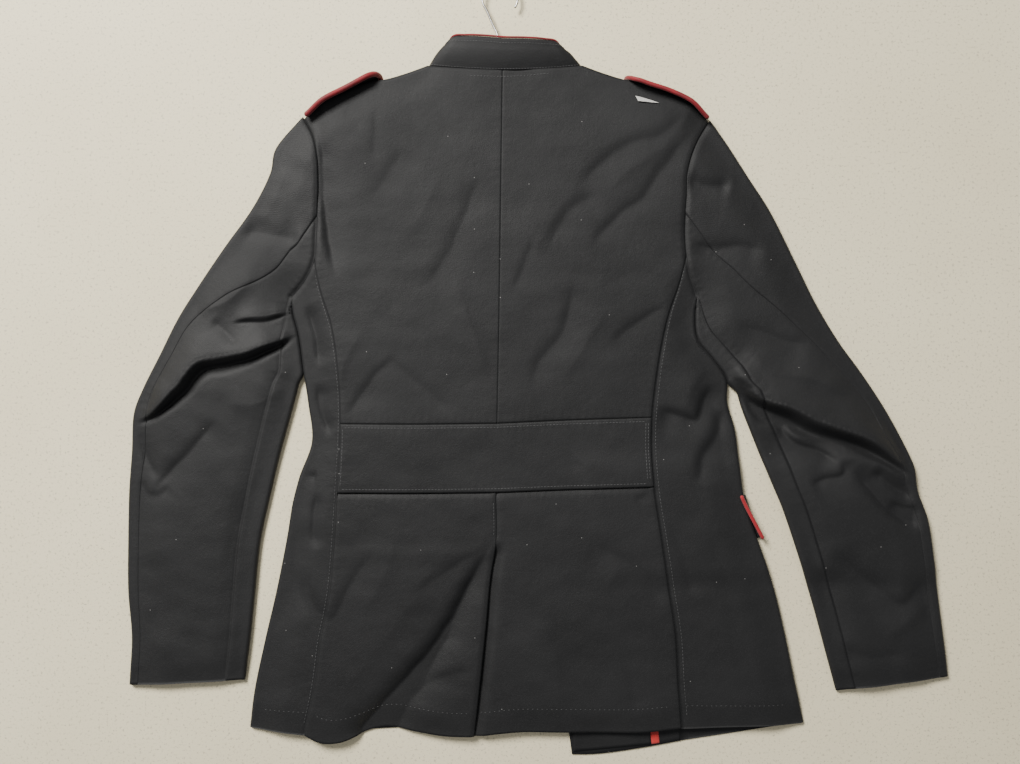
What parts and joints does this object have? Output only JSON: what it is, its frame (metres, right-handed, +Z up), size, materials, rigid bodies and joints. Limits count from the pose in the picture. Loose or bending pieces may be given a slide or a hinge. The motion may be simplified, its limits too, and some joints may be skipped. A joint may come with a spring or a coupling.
{
  "type": "stand-collar jacket on a wire hanger",
  "caption": "Stand-collar uniform jacket lying flat on its front, with back belt, centre vent, shoulder straps, piping and a wire hanger inside.",
  "frame": {"origin": "point of the left front's underside that lies on the floor, near the middle of the jacket", "axes": "+Z up from the floor, +Y towards the collar, +X towards the wearer's right sleeve, as seen from the back"},
  "size_m": [0.8982, 0.8487, 0.0324],
  "materials": {
    "twill": "near-black wool twill",
    "facing": "near-black wool twill, inside face",
    "piping": "dark red cotton cord and tape",
    "label": "blank white woven tape",
    "wire": "dull galvanised wire"
  },
  "bodies": {
    "root": {"back_left": "twill", "back_right": "twill", "belt_back": "twill", "skirt_left": "twill", "skirt_right": "twill", "side_left": "twill", "side_right": "twill", "front_left": "twill", "front_right": "twill", "facing_right": "facing", "facing_binding": "piping", "sleeve_top_left": "twill", "sleeve_under_left": "twill", "sleeve_top_right": "twill", "sleeve_under_right": "twill", "collar": "twill", "collar_piping": "piping", "strap_left": "twill", "strap_right": "twill", "strap_piping_left": "piping", "strap_piping_right": "piping", "flap_right": "twill", "flap_piping": "piping", "label": "label", "hanger_hook": "wire", "hanger_frame": "wire"}
  },
  "joints": []
}
